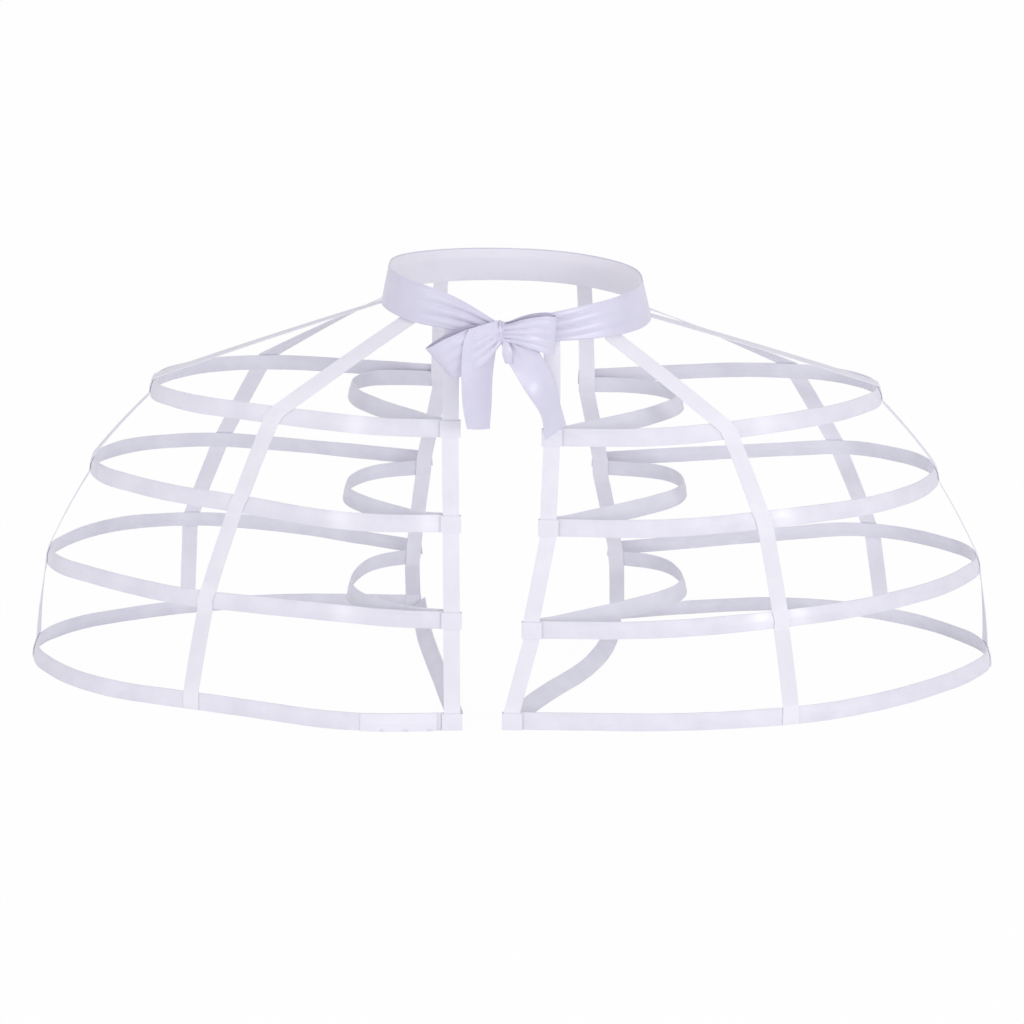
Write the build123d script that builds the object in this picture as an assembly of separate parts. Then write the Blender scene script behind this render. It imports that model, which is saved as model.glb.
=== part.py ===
from build123d import *
import math
import os

# Sizes in millimetres; left and right are as seen from in front, which is toward -Y
casing_width = 17.5
casing_edge = 1.2
casing_crest = 3.2
casing_lean = 14
hem_band_lean = 48
pocket_width = 10
pocket_depth = 1.2
bone_width = 9.4
bone_depth = 0.9
bone_end_gap = 4
tape_width = 16
tape_depth = 0.8
fit_gap = 0.3
corner_share = 0.48
front_tape_inset = 9
rear_tape_inset = 11
hip_front_run = 20
hip_drop = 3
hip_fall = 0.04
hem_band_height = 9
tape_foot_gap = 0.6

# Sizes of the satin sash and its bow
sash_width = 38
sash_depth = 1
sash_lean = 18
sash_tuck = 24
sash_hang = 6
sash_gap = 1.6
sash_steps = 44
gather_width = 18
left_gather_reach = 70
right_gather_reach = 150
knot_size = (19, 15, 22)
knot_round = 5
knot_place = (-12, -110, 389)
loop_tip_round = 5

# Height of each hoop, from the top one to the hem, as the middle of its casing
HOOP_HEIGHTS = {"left": [288, 192, 93], "right": [280, 190, 87]}

# Hoop outlines as outward distance and place front to back, front tape to rear tape
HOOPS = {
    "left": [
        [(50, -91), (125, -88), (215, -56), (318, -12), (362, 30), (358, 78), (312, 119),
         (240, 129), (62, 90)],
        [(50, -93), (160, -92), (270, -36), (345, -4), (418, 50), (437, 98), (402, 147),
         (320, 167), (240, 148), (80, 100)],
        [(50, -98), (115, -94), (220, -66), (330, -36), (400, 4), (467, 52), (486, 92),
         (459, 146), (415, 180), (335, 194), (245, 172), (92, 103)],
        [(49, -149), (160, -154), (265, -116), (395, -74), (450, -38), (490, 15), (493, 62),
         (458, 104), (365, 146), (255, 168), (95, 163)],
    ],
    "right": [
        [(29, -93), (145, -97), (250, -56), (325, -16), (370, 32), (366, 78), (325, 115),
         (240, 129), (65, 101)],
        [(26, -98), (150, -106), (270, -70), (355, -38), (412, 10), (436, 62), (420, 104),
         (358, 148), (260, 133), (80, 104)],
        [(10, -107), (135, -111), (245, -87), (350, -51), (440, 8), (484, 66), (480, 108),
         (430, 156), (365, 179), (270, 156), (98, 115)],
        [(-9, -148), (170, -154), (300, -132), (385, -92), (455, -40), (490, 4), (486, 48),
         (440, 102), (370, 142), (290, 159), (200, 149), (100, 129)],
    ],
}

# Points of the inner bands, after a first stretch that follows the hoop
HIPS = {
    "left": [
        [(125, -28), (158, 20), (164, 64), (146, 94), (104, 96)],
        [(92, -84), (140, -42), (166, -8), (168, 38), (143, 78)],
        [(94, -88), (145, -55), (165, -18), (163, 26), (146, 78)],
    ],
    "right": [
        [(130, -28), (162, 10), (172, 40), (155, 79), (118, 95)],
        [(128, -38), (168, -2), (177, 40), (160, 80), (122, 93)],
        [(85, -70), (145, -28), (172, 0), (177, 36), (160, 92)],
    ],
}

# Slanted inner band at the hem: either end's place along the hoop and stand-off from its
# bone, and the points between
HEM_BANDS = {
    "left": ((5, 2.3), [(64, -88), (80, 0), (92, 70)], (5, 3.9)),
    "right": ((9, 3.4), [(30, -88), (78, -20), (102, 50)], (8, 5.4)),
}

# Outward distance at which these tapes cross each hoop, before its tip or behind it
TAPE_CROSSINGS = {
    "left": {"front_side": [230, 270, 305, 316], "back_side": [257, 306, 346, 348]},
    "right": {"front_side": [208, 244, 265, 271], "back_side": [290, 341, 383, 396]},
}
halvings = 30

# Waist line at mid-width of the sash, round the back, and its two ends beside the knot
WAIST = [(-54, -98, 405), (-98, -78, 411), (-122, -38, 413), (-122, 53, 404),
         (-48, 115, 396), (56, 115, 393), (130, 53, 392), (130, -38, 395), (98, -80, 395),
         (48, -98, 392)]
WAIST_ENDS = [(-3, 4, 0), (3, 4, -1)]

# Place front to back at which each tape hangs from the waist line, on its own side
SASH_PLACES = {
    "left": {"front": -96, "front_side": -73, "side": -2, "back_side": 28, "rear": 95},
    "right": {"front": -99, "front_side": -77, "side": 4, "back_side": 36, "rear": 99},
}

# Bow loops: slope below level, then the doubled ribbon from above and its width along it
LOOPS = {
    "left": (30, [(0, -2), (24, -4), (65, -4), (65, 8), (27, 11), (0, 4)],
             [(0, 7), (24, 15), (48, 19), (72, 19)]),
    "right": (7, [(0, -2), (20, -4), (55, -4), (55, 8), (23, 11), (0, 4)],
              [(0, 7), (21, 14), (40, 18), (62, 18)]),
}

# Bow tails: points down the ribbon from the knot, its tilt from level, turn and width
TAILS = {
    "left": [((-5, 0, -4), 10, 0, 16), ((-15, -3, -25), 8, 0, 30),
             ((-19, -4, -64), 0, 12, 36), ((-21, -3, -95), 0, 48, 36)],
    "right": [((5, 0, -8), -40, 0, 14), ((20, -2, -27), -34, 0, 24),
              ((36, -3, -51), -28, 10, 30), ((47, -3, -75), -16, 30, 32),
              ((53, -2, -101), -10, 50, 34)],
}

SIDES = {"left": -1, "right": 1}
TAPES = ["front", "front_side", "side", "back_side", "rear"]
UP = Vector(0, 0, 1)
FRONT = Vector(0, -1, 0)


def rounded_line(places):
    """Line of straight runs and arcs as large as the runs allow."""
    radii = []
    for before, here, after in zip(places, places[1:], places[2:]):
        back = before - here
        onward = after - here
        turn = 180 - back.get_angle(onward)
        reach = corner_share * min(back.length, onward.length)
        radii.append(reach / math.tan(math.radians(turn / 2)))
    return FilletPolyline(*places, radius=radii)


def outline_path(points, side, height, fall_back=0):
    """Path of a band from its outline, level or falling toward the back."""
    return rounded_line([Vector(side * x, y, height - fall_back * y) for x, y in points])


def seat_on(path, distance, side, up=UP):
    """Place on a path whose x points outward and whose y points up."""
    point = path.position_at(distance, PositionMode.LENGTH)
    along = path.tangent_at(distance, PositionMode.LENGTH)
    outward = along.cross(up) * side
    return Plane(origin=point, x_dir=outward, z_dir=outward.cross(up))


def where(low, high, passed):
    """Length between two others at which a test first holds, by halving."""
    for _ in range(halvings):
        middle = (low + high) / 2
        if passed(middle):
            high = middle
        else:
            low = middle
    return high


def tip_length(hoop, side):
    """Length along a hoop to its tip, where it stops running outward."""
    def inward(distance):
        return hoop.tangent_at(distance, PositionMode.LENGTH).X * side < 0

    return where(0, hoop.length, inward)


def crossing_length(hoop, side, outward, behind):
    """Length along a hoop to where it is so far outward, before or behind its tip."""
    def passed(distance):
        reached = hoop.position_at(distance, PositionMode.LENGTH).X * side
        return reached < outward if behind else reached > outward

    tip = tip_length(hoop, side)
    return where(tip, hoop.length, passed) if behind else where(0, tip, passed)


def waist_length(side, place):
    """Length along the waist line to a place front to back on one side of it."""
    half = waist.length / 2

    def passed(reach):
        distance = reach if side < 0 else waist.length - reach
        return waist.position_at(distance, PositionMode.LENGTH).Y > place

    reach = where(0, half, passed)
    return reach if side < 0 else waist.length - reach


def leaning(seat, lean, out, rise):
    """Point of a leaning band: out is across its cloth and rise is up its width."""
    slope = math.radians(lean)
    level_out = out / math.cos(slope) - rise * math.sin(slope)
    return seat.from_local_coords(Vector(level_out, rise * math.cos(slope), 0))


def casing_outline(seat, lean):
    """Section of a casing, fullest over its bone, with the pocket left out."""
    outer = []
    for out, rise in [(casing_edge, 1), (casing_crest, 0), (casing_edge, -1),
                      (-casing_edge, -1), (-casing_crest, 0), (-casing_edge, 1)]:
        outer.append(leaning(seat, lean, out / 2, rise * casing_width / 2))
    return Wire.make_polygon(outer, close=True)


def strip_outline(seat, lean, depth, width):
    """Section of a flat leaning strip or slot."""
    corners = []
    for out, rise in [(1, 1), (1, -1), (-1, -1), (-1, 1)]:
        corners.append(leaning(seat, lean, out * depth / 2, rise * width / 2))
    return Wire.make_polygon(corners, close=True)


def boned_casing(path, side, lean, up):
    """Casing with a pocket right through it, and the bone that lies in the pocket."""
    seat = seat_on(path, 0, side, up)
    casing = sweep(Face(casing_outline(seat, lean)), path=path)
    pocket = strip_outline(seat, lean, pocket_depth, pocket_width)
    casing = casing - sweep(Face(pocket), path=path)
    start = bone_end_gap / path.length
    bone_path = path.trim(start, 1 - start)
    seat = seat_on(bone_path, 0, side, up)
    strip = strip_outline(seat, lean, bone_depth, bone_width)
    bone = sweep(Face(strip), path=bone_path)
    return casing.solid(), bone.solid()


def ribbon(stations, depth):
    """Strip of cloth through stations of point, width direction, width and stand-off."""
    sections = []
    for index, (point, across, width, near) in enumerate(stations):
        normals = []
        if index > 0:
            normals.append((point - stations[index - 1][0]).cross(across).normalized())
        if index < len(stations) - 1:
            normals.append((stations[index + 1][0] - point).cross(across).normalized())
        first = normals[0]
        last = normals[-1]
        mitre = (first + last) * (1 / (1 + first.dot(last)))
        half = across * (width / 2)
        inner = point + mitre * near
        outer = point + mitre * (near + depth)
        corners = [inner - half, inner + half, outer + half, outer - half]
        sections.append(Face(Wire.make_polygon(corners, close=True)))
    return loft(sections, ruled=True).solid()


def hem_height():
    """Middle of the hem casing when its lower edge stands on the floor."""
    return casing_width / 2 * math.cos(math.radians(casing_lean))


def hip_path(side_name, level, hoop, height):
    """Inner band: along the hoop at the front, round the hip, back to the hoop's end."""
    side = SIDES[side_name]
    inset = (casing_crest + fit_gap) / math.cos(math.radians(casing_lean))
    ends = []
    for distance in [0, hip_front_run, hoop.length]:
        inner = seat_on(hoop, distance, side).from_local_coords(Vector(-inset, 0, 0))
        ends.append((side * inner.X, inner.Y))
    points = ends[:2] + HIPS[side_name][level] + ends[2:]
    return outline_path(points, side, height - hip_drop, hip_fall)


def hem_band_path(side_name, hoop):
    """Inner band of the hem, whose two ends butt against the inside of the hem hoop."""
    side = SIDES[side_name]
    front, middle, rear = HEM_BANDS[side_name]
    ends = []
    for distance, stand_off in [front, (hoop.length - rear[0], rear[1])]:
        inner = seat_on(hoop, distance, side).from_local_coords(Vector(-stand_off, 0, 0))
        ends.append((side * inner.X, inner.Y))
    return outline_path([ends[0]] + middle + [ends[1]], side, hem_band_height)


def tape_stations(side_name, tape, hoops, bands):
    """Stations of a tape from inside the sash down over the bands to the hem."""
    side = SIDES[side_name]
    inside = -sash_gap - tape_depth
    seat = seat_on(waist, waist_length(side, SASH_PLACES[side_name][tape]), -1)
    across = seat.z_dir * -1
    stations = []
    for rise in [sash_tuck - sash_width / 2, -sash_width / 2 - sash_hang]:
        guide = leaning(seat, sash_lean, -sash_depth / 2, rise)
        stations.append((guide, across, tape_width, inside))
    for level, hoop in enumerate(hoops):
        hem = level == len(hoops) - 1
        if tape == "front":
            seat = seat_on(hoop, front_tape_inset, side)
        elif tape == "rear" and hem:
            seat = seat_on(hoop, hoop.length - rear_tape_inset, side)
        elif tape == "rear":
            band, up = bands[level]
            seat = seat_on(band, band.length - rear_tape_inset, side, up)
        elif tape == "side":
            seat = seat_on(hoop, tip_length(hoop, side), side)
        else:
            outward = TAPE_CROSSINGS[side_name][tape][level]
            behind = tape == "back_side"
            seat = seat_on(hoop, crossing_length(hoop, side, outward, behind), side)
        face = -1 if tape == "rear" else 1
        near = -fit_gap - tape_depth if tape == "rear" else fit_gap
        foot = tape_foot_gap if hem else 0
        for out, rise in [(casing_edge, casing_width / 2), (casing_crest, 0),
                          (casing_edge, foot - casing_width / 2)]:
            guide = leaning(seat, casing_lean, face * out / 2, rise)
            stations.append((guide, seat.z_dir * -1, tape_width, near))
    return stations


def bow_loop(side_name):
    """Doubled ribbon that leaves the knot, opens out and narrows back to the knot."""
    slope, outline, widths = LOOPS[side_name]
    fall = math.radians(slope)
    axis = Vector(SIDES[side_name] * math.cos(fall), 0, -math.sin(fall))
    level = Plane(origin=knot_place, x_dir=axis, z_dir=axis.cross(FRONT))
    facing = Plane(origin=knot_place, x_dir=axis, z_dir=FRONT)
    outer = make_face(Polyline(*outline, close=True))
    tips = outer.vertices().sort_by(Axis.X)[-2:]
    outer = fillet(tips, loop_tip_round)
    inner = offset(outer, -sash_depth)
    doubled = extrude(level * (outer - inner), amount=sash_width / 2, both=True)
    half_widths = [(x, -y) for x, y in reversed(widths)]
    spread = make_face(Polyline(*widths, *half_widths, close=True))
    return doubled & extrude(facing * spread, amount=sash_width, both=True)


os.makedirs("parts", exist_ok=True)
solids = {}
knot = Vector(*knot_place)
waist_ends = [knot + Vector(*place) for place in WAIST_ENDS]
waist = rounded_line([waist_ends[0], *(Vector(*place) for place in WAIST), waist_ends[1]])

for side_name, side in SIDES.items():
    heights = HOOP_HEIGHTS[side_name] + [hem_height()]
    hoops = []
    bands = []
    for level, outline in enumerate(HOOPS[side_name]):
        hoop = outline_path(outline, side, heights[level])
        hoops.append(hoop)
        if level < len(HIPS[side_name]):
            band = hip_path(side_name, level, hoop, heights[level])
            lean = casing_lean
            up = Vector(0, hip_fall, 1).normalized()
        else:
            band = hem_band_path(side_name, hoop)
            lean = hem_band_lean
            up = UP
        bands.append((band, up))
        number = level + 1
        casing, bone = boned_casing(hoop, side, casing_lean, UP)
        solids[f"{side_name}_hoop_casing_{number}"] = casing
        solids[f"{side_name}_hoop_bone_{number}"] = bone
        casing, bone = boned_casing(band, side, lean, up)
        solids[f"{side_name}_hip_casing_{number}"] = casing
        solids[f"{side_name}_hip_bone_{number}"] = bone
    for tape in TAPES:
        stations = tape_stations(side_name, tape, hoops, bands)
        solids[f"{side_name}_{tape}_tape"] = ribbon(stations, tape_depth)

# Sash: one ribbon round the waist, gathered narrower toward the knot
stations = []
for step in range(sash_steps + 1):
    distance = waist.length * step / sash_steps
    seat = seat_on(waist, distance, -1)
    down = (leaning(seat, sash_lean, 0, -1) - seat.origin).normalized()
    left_gather = 1 - distance / left_gather_reach
    right_gather = 1 - (waist.length - distance) / right_gather_reach
    gather = max(0, left_gather, right_gather)
    width = sash_width - (sash_width - gather_width) * gather
    stations.append((seat.origin, down, width, -sash_depth / 2))
sash = ribbon(stations, sash_depth)
sash = sash + Pos(*knot_place) * fillet(Box(*knot_size).edges(), knot_round)

# Bow: a loop to either side and two hanging tails, all from the knot
for side_name in SIDES:
    sash = sash + bow_loop(side_name)
for shape in TAILS.values():
    stations = []
    for place, tilt, turn, width in shape:
        level = math.radians(tilt)
        away = math.radians(turn)
        across = Vector(math.cos(level) * math.cos(away), math.cos(level) * math.sin(away),
                        -math.sin(level))
        stations.append((knot + Vector(*place), across, width, -sash_depth / 2))
    sash = sash + ribbon(stations, sash_depth)
solids["waist_sash"] = sash.solid()

# The cage stands with the middle of its footprint over the origin
middle = Compound(list(solids.values())).bounding_box().center()
stand = Pos(-middle.X, -middle.Y, 0)
for name, solid in solids.items():
    placed = stand * solid
    placed.label = name
    export_step(placed, f"parts/{name}.step")
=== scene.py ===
import math

import bpy
import numpy as np
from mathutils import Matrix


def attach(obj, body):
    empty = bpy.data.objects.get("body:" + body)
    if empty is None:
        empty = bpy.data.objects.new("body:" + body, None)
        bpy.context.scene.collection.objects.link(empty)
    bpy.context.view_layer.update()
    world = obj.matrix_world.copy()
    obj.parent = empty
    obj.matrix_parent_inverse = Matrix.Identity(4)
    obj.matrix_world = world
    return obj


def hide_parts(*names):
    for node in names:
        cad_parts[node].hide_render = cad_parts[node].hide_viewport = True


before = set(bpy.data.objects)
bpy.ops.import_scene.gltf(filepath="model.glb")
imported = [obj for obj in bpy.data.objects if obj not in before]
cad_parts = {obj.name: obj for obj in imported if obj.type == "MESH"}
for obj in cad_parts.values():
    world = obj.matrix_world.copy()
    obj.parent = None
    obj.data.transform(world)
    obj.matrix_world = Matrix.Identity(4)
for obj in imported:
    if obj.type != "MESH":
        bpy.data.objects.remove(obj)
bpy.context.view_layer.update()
scene = bpy.context.scene

# Photographer's set-up: a long lens aimed at the middle of the cage from a little above,
# soft lamps on either hand, low in front and overhead, and a floor of white paper that
# catches a faint shadow.
view_fall = math.radians(20)
view_distance = 2.8
lens_pixels = 2800
frame_pixels = 1024
sensor_width = 36
look_at = np.array([0.00164, -0.01956, 0.170])
camera_data = bpy.data.cameras.new("camera")
camera_data.sensor_fit = "HORIZONTAL"
camera_data.sensor_width = sensor_width
camera_data.lens = lens_pixels / frame_pixels * sensor_width
camera = bpy.data.objects.new("camera", camera_data)
sight_line = np.array([0, math.cos(view_fall), -math.sin(view_fall)])
camera.location = look_at - view_distance * sight_line
camera.rotation_euler = (math.pi / 2 - view_fall, 0, 0)
scene.collection.objects.link(camera)
scene.camera = camera
scene.view_settings.view_transform = "Standard"
lamp_aim = (0, 0, 0.2)


def soft_lamp(name, place, size, power):
    """Square soft lamp that stands at a place and is turned to the cage."""
    lamp_data = bpy.data.lights.new(name, "AREA")
    lamp_data.size = size
    lamp_data.energy = power
    lamp = bpy.data.objects.new(name, lamp_data)
    scene.collection.objects.link(lamp)
    lamp.location = place
    aim = bpy.data.objects.new(name + "_aim", None)
    scene.collection.objects.link(aim)
    aim.location = lamp_aim
    follow = lamp.constraints.new("TRACK_TO")
    follow.target = aim
    follow.track_axis = "TRACK_NEGATIVE_Z"
    follow.up_axis = "UP_Y"


soft_lamp("right_lamp", (3.0, -4.0, 1.6), 1.3, 48)
soft_lamp("left_lamp", (-3.4, -3.6, 1.4), 1.6, 22)
soft_lamp("low_lamp", (0.2, -5.2, 0.4), 2.0, 32)
soft_lamp("overhead_lamp", (0, 0.4, 2.2), 1.2, 1.5)


def seen_directly(nodes, links):
    """Is 1 on rays that come from the camera, or by way of gloss or glass."""
    rays = nodes.new("ShaderNodeLightPath")
    either = nodes.new("ShaderNodeMath")
    either.operation = "MAXIMUM"
    links.new(rays.outputs["Is Camera Ray"], either.inputs[0])
    links.new(rays.outputs["Is Glossy Ray"], either.inputs[1])
    any_of = nodes.new("ShaderNodeMath")
    any_of.operation = "MAXIMUM"
    links.new(either.outputs[0], any_of.inputs[0])
    links.new(rays.outputs["Is Transmission Ray"], any_of.inputs[1])
    return any_of.outputs[0]


room_light = 0.76
world = bpy.data.worlds.new("studio")
scene.world = world
world.use_nodes = True
nodes = world.node_tree.nodes
links = world.node_tree.links
nodes.clear()
lit = nodes.new("ShaderNodeBackground")
lit.inputs["Color"].default_value = (0.97, 0.97, 1, 1)
lit.inputs["Strength"].default_value = room_light
white = nodes.new("ShaderNodeBackground")
white.inputs["Color"].default_value = (1, 1, 1, 1)
blend = nodes.new("ShaderNodeMixShader")
links.new(seen_directly(nodes, links), blend.inputs["Fac"])
links.new(lit.outputs[0], blend.inputs[1])
links.new(white.outputs[0], blend.inputs[2])
links.new(blend.outputs[0], nodes.new("ShaderNodeOutputWorld").inputs["Surface"])

paper_half = 12
paper_drop = 0.0006
paper_glow = 0.965
paper_mesh = bpy.data.meshes.new("paper_floor")
paper_corners = [(-1, -1), (1, -1), (1, 1), (-1, 1)]
paper_mesh.from_pydata([(x * paper_half, y * paper_half, -paper_drop)
                        for x, y in paper_corners], [], [(0, 1, 2, 3)])
paper = bpy.data.objects.new("paper_floor", paper_mesh)
scene.collection.objects.link(paper)
paper_white = bpy.data.materials.new("paper_white")
paper_white.use_nodes = True
nodes = paper_white.node_tree.nodes
links = paper_white.node_tree.links
nodes.clear()
matt = nodes.new("ShaderNodeBsdfDiffuse")
matt.inputs["Color"].default_value = (0.92, 0.92, 0.93, 1)
glow = nodes.new("ShaderNodeEmission")
share = nodes.new("ShaderNodeMath")
share.operation = "MULTIPLY"
share.inputs[1].default_value = paper_glow
links.new(seen_directly(nodes, links), share.inputs[0])
blend = nodes.new("ShaderNodeMixShader")
links.new(share.outputs[0], blend.inputs["Fac"])
links.new(matt.outputs[0], blend.inputs[1])
links.new(glow.outputs[0], blend.inputs[2])
links.new(blend.outputs[0], nodes.new("ShaderNodeOutputMaterial").inputs["Surface"])
paper_mesh.materials.append(paper_white)


# Bones: flat spring steel strips, coated white, that push into the casings and give the
# hoops and hip bands their curve. They are sewn in, so none shows.
bone_coating = bpy.data.materials.new("bone_coating")
bone_coating.use_nodes = True
nodes = bone_coating.node_tree.nodes
links = bone_coating.node_tree.links
shader = nodes["Principled BSDF"]
shader.inputs["Roughness"].default_value = 0.42
shader.inputs["Coat Weight"].default_value = 0.3
coat_place = nodes.new("ShaderNodeTexCoord")
coat_noise = nodes.new("ShaderNodeTexNoise")
coat_noise.inputs["Scale"].default_value = 160
coat_tint = nodes.new("ShaderNodeMix")
coat_tint.data_type = "RGBA"
coat_tint.inputs["A"].default_value = (0.56, 0.56, 0.6, 1)
coat_tint.inputs["B"].default_value = (0.7, 0.7, 0.74, 1)
links.new(coat_place.outputs["Object"], coat_noise.inputs["Vector"])
links.new(coat_noise.outputs["Fac"], coat_tint.inputs["Factor"])
links.new(coat_tint.outputs["Result"], shader.inputs["Base Color"])
for name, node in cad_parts.items():
    if "_bone_" in name:
        node.data.materials.clear()
        node.data.materials.append(bone_coating)


# Hoop casings: a strip of satin-faced twill folded lengthwise round each bone, sewn along
# both edges and shut at both ends. Each front end is folded back over its tape, and a
# second strip covers the join of the left hem, held by three bar tacks.
SIDES = {"left": -1, "right": 1}
UP = np.array([0.0, 0.0, 1.0])
# Cloth is measured in millimetres, and its leans in degrees
mm_per_m = 1000
footprint_middle = np.array([-1.69, 19.56, 0.0])
corner_share = 0.48
casing_width = 17.5
casing_width_share = 0.975
casing_width_waver = 0.02
casing_edge = 1.2
casing_crest = 3.2
crest_round = 0.012
casing_lean = 14
casing_twist = 3.5
twist_wavelength = 150
twist_seed = 5
side_seed = 3
CASING_SHARES = [-1, -0.92, -0.7, -0.45, -0.2, 0, 0.2, 0.45, 0.7, 0.92, 1]
ring_step = 5
end_press = 0.4
end_taper = 2.4
rear_trim = 2.6
rear_hold = 25
pocket_width = 10
pocket_depth = 1.2
pocket_end = 3.6
POCKET_RING = [(1, -1), (1, 0), (1, 1), (-1, 1), (-1, 0), (-1, -1)]
skin_dip = 0.05
dip_wavelength = 23
dip_slant = 40
thread_pitch = 3.4
thread_length = 2.2
thread_half = 0.22
thread_stand = 0.02
seam_share = 0.84
crease_angle = 55
never_zero = 1e-9

# Height of the upper hoops, then the corners of each hoop from its front end, outward and
# front to back
HOOP_HEIGHTS = {"left": [288, 192, 93], "right": [280, 190, 87]}
HOOPS = {
    "left": [
        [(50, -91), (125, -88), (215, -56), (318, -12), (362, 30), (358, 78), (312, 119),
         (240, 129), (62, 90)],
        [(50, -93), (160, -92), (270, -36), (345, -4), (418, 50), (437, 98), (402, 147),
         (320, 167), (240, 148), (80, 100)],
        [(50, -98), (115, -94), (220, -66), (330, -36), (400, 4), (467, 52), (486, 92),
         (459, 146), (415, 180), (335, 194), (245, 172), (92, 103)],
        [(49, -149), (160, -154), (265, -116), (395, -74), (450, -38), (490, 15), (493, 62),
         (458, 104), (365, 146), (255, 168), (95, 163)],
    ],
    "right": [
        [(29, -93), (145, -97), (250, -56), (325, -16), (370, 32), (366, 78), (325, 115),
         (240, 129), (65, 101)],
        [(26, -98), (150, -106), (270, -70), (355, -38), (412, 10), (436, 62), (420, 104),
         (358, 148), (260, 133), (80, 104)],
        [(10, -107), (135, -111), (245, -87), (350, -51), (440, 8), (484, 66), (480, 108),
         (430, 156), (365, 179), (270, 156), (98, 115)],
        [(-9, -148), (170, -154), (300, -132), (385, -92), (455, -40), (490, 4), (486, 48),
         (440, 102), (370, 142), (290, 159), (200, 149), (100, 129)],
    ],
}
# Outward distance at which these tapes cross each hoop, before its tip or behind it
TAPE_CROSSINGS = {
    "left": {"front_side": [230, 270, 305, 316], "back_side": [257, 306, 346, 348]},
    "right": {"front_side": [208, 244, 265, 271], "back_side": [290, 341, 383, 396]},
}
# Outward distance of the places on the front of each hoop that are rubbed shiny and painted
# lighter as a highlight
RUB_HIGHLIGHT_PLACES = {
    "left": [[150], [80, 165], [165], []],
    "right": [[245], [264], [244, 282], []],
}
rub_highlight_reach = 13
rubbed_gloss = 0.2
crossing_reach = 22
crossing_rub_highlight = 0.3


class Line:
    """Straight runs joined by arcs as large as the runs allow, read by length."""

    def __init__(self, places, arc_steps=14):
        places = [np.array(place, float) for place in places]
        points = [places[0]]
        for before, here, after in zip(places, places[1:], places[2:]):
            back = before - here
            onward = after - here
            reach = corner_share * min(np.linalg.norm(back), np.linalg.norm(onward))
            start = -back / np.linalg.norm(back)
            end = onward / np.linalg.norm(onward)
            turn = math.acos(max(-1, min(1, start @ end)))
            radius = reach / math.tan(turn / 2)
            inward = (end - math.cos(turn) * start) / math.sin(turn)
            for step in range(arc_steps + 1):
                angle = turn * step / arc_steps
                points.append(here - start * reach + radius
                              * (math.sin(angle) * start + (1 - math.cos(angle)) * inward))
        points.append(places[-1])
        self.points = np.array(points)
        runs = np.linalg.norm(np.diff(self.points, axis=0), axis=1)
        self.marks = np.concatenate([[0], np.cumsum(runs)])
        self.length = self.marks[-1]

    def at(self, distance):
        """Point at a length along the line."""
        return np.array([np.interp(distance, self.marks, self.points[:, k]) for k in range(3)])

    def along(self, distance, reach=1.5):
        """Direction of the line at a length along it."""
        low = max(0, distance - reach)
        high = min(self.length, distance + reach)
        way = self.at(high) - self.at(low)
        return way / np.linalg.norm(way)


def where(low, high, passed, halvings=30):
    """Length between two others at which a test first holds, by halving."""
    for _ in range(halvings):
        middle = (low + high) / 2
        if passed(middle):
            high = middle
        else:
            low = middle
    return high


def tip_length(hoop, side):
    """Length along a hoop to its tip, where it stops running outward."""
    return where(0, hoop.length, lambda distance: hoop.along(distance)[0] * side < 0)


def crossing_length(hoop, side, outward, behind):
    """Length along a hoop to where it is so far outward, before or behind its tip."""
    tip = tip_length(hoop, side)
    if behind:
        return where(tip, hoop.length, lambda distance: hoop.at(distance)[0] * side < outward)
    return where(0, tip, lambda distance: hoop.at(distance)[0] * side > outward)


def seat_on(line, distance, side, up=UP):
    """Point on a line, with its outward and upward directions."""
    outward = np.cross(line.along(distance), up) * side
    return line.at(distance), outward / np.linalg.norm(outward), up


def leaning(seat, lean, out, rise):
    """Point of a leaning band: out is across its cloth and rise is up its width."""
    point, outward, up = seat
    slope = math.radians(lean)
    level_out = out / math.cos(slope) - rise * math.sin(slope)
    return point + outward * level_out + up * (rise * math.cos(slope))


def hem_height():
    """Height of the middle of the lowest hoop, whose leaning band stands on the floor."""
    return casing_width / 2 * math.cos(math.radians(casing_lean))


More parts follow.
